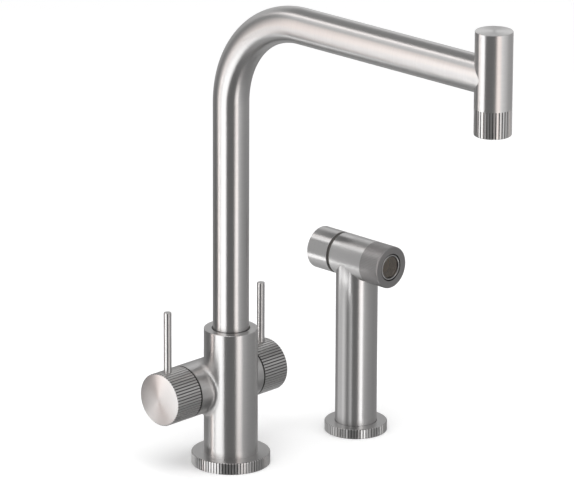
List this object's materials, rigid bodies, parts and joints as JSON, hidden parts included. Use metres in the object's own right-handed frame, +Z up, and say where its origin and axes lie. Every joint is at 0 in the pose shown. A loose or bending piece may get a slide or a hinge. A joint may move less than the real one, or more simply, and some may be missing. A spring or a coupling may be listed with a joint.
{
  "type": "side spray kitchen faucet",
  "caption": "Deck-mounted kitchen faucet with a swivelling right-angled tube spout, knurled lever knobs and a separate lift-out hand spray with a push button.",
  "frame": {"origin": "mouth of the fixing stud's hole, on the column's axis at the underside of the base flange", "axes": "+Z up along the column, spout to -Y, handle bar along X, hand spray on the +X side"},
  "size_m": [0.2076, 0.3209, 0.4031],
  "materials": {
    "satin_steel": "satin brushed stainless steel",
    "knurled_steel": "straight-knurled stainless steel",
    "spring_steel": "drawn stainless spring wire",
    "screen_steel": "woven stainless screen",
    "brass": "turned brass",
    "ceramic": "lapped alumina ceramic",
    "black_rubber": "matt black rubber",
    "dark_acetal": "moulded dark acetal",
    "pale_acetal": "moulded natural acetal"
  },
  "bodies": {
    "root": {"base_flange": "knurled_steel", "base_seal": "black_rubber", "inlet_block": "brass", "block_gasket": "black_rubber", "mixer_body": "satin_steel", "stop_screw": "spring_steel", "spout_sleeve": "dark_acetal", "diverter_body": "brass", "diverter_spring": "spring_steel", "spray_flange": "knurled_steel", "spray_liner": "dark_acetal", "spray_seal": "black_rubber", "left_seat_seal": "black_rubber", "left_fixed_disc": "ceramic", "left_cartridge_body": "brass", "left_glide_ring": "dark_acetal", "right_seat_seal": "black_rubber", "right_fixed_disc": "ceramic", "right_cartridge_body": "brass", "right_glide_ring": "dark_acetal"},
    "spout": {"spout_pipe": "satin_steel", "spout_tail": "brass", "spout_o_rings": "black_rubber", "spout_nozzle": "satin_steel", "aerator_collar": "knurled_steel", "aerator_screen": "screen_steel", "aerator_insert": "pale_acetal", "aerator_washer": "black_rubber"},
    "left_handle": {"left_moving_disc": "ceramic", "left_spindle": "brass", "left_spindle_o_ring": "black_rubber", "left_knob": "knurled_steel", "left_lever": "satin_steel", "left_grub_screw": "spring_steel"},
    "right_handle": {"right_moving_disc": "ceramic", "right_spindle": "brass", "right_spindle_o_ring": "black_rubber", "right_knob": "knurled_steel", "right_lever": "satin_steel", "right_grub_screw": "spring_steel"},
    "diverter": {"diverter_piston": "pale_acetal", "diverter_seal": "black_rubber"},
    "hand_spray": {"spray_body": "satin_steel", "hose_socket": "brass", "check_valve": "pale_acetal", "riser_tube": "pale_acetal", "valve_block": "brass", "stem_o_ring": "black_rubber", "button_guide": "dark_acetal", "button_spring": "spring_steel", "spray_collar": "knurled_steel", "spray_washer": "black_rubber", "spray_core": "dark_acetal", "screen_ring": "satin_steel", "spray_screen": "screen_steel"},
    "spray_button": {"spray_button": "satin_steel", "button_stem": "spring_steel", "valve_seal": "black_rubber"}
  },
  "joints": [
    {"name": "spout_swivel", "type": "hinge", "parent": "root", "child": "spout", "pos_m": [0, 0, 0.1], "axis": [0, 0, 1], "range_deg": [-75, 75]},
    {"name": "left_handle_turn", "type": "hinge", "parent": "root", "child": "left_handle", "pos_m": [-0.0341, 0.0178, 0.0615], "axis": [1, 0, 0], "range_deg": [0, 90]},
    {"name": "right_handle_turn", "type": "hinge", "parent": "root", "child": "right_handle", "pos_m": [0.0341, 0.0178, 0.0615], "axis": [1, 0, 0], "range_deg": [0, 90]},
    {"name": "diverter_slide", "type": "slide", "parent": "root", "child": "diverter", "axis": [0, 0, 1], "range_m": [0, 0.0038], "stiffness_N_per_m": 120, "springref_m": -0.003, "deforming": ["diverter_spring"]},
    {"name": "spray_lift", "type": "slide", "parent": "root", "child": "hand_spray", "axis": [0, 0, 1], "range_m": [0, 0.12]},
    {"name": "button_press", "type": "slide", "parent": "hand_spray", "child": "spray_button", "axis": [0, -1, 0], "range_m": [0, 0.0025], "stiffness_N_per_m": 1500, "springref_m": -0.003, "deforming": ["button_spring"]}
  ]
}
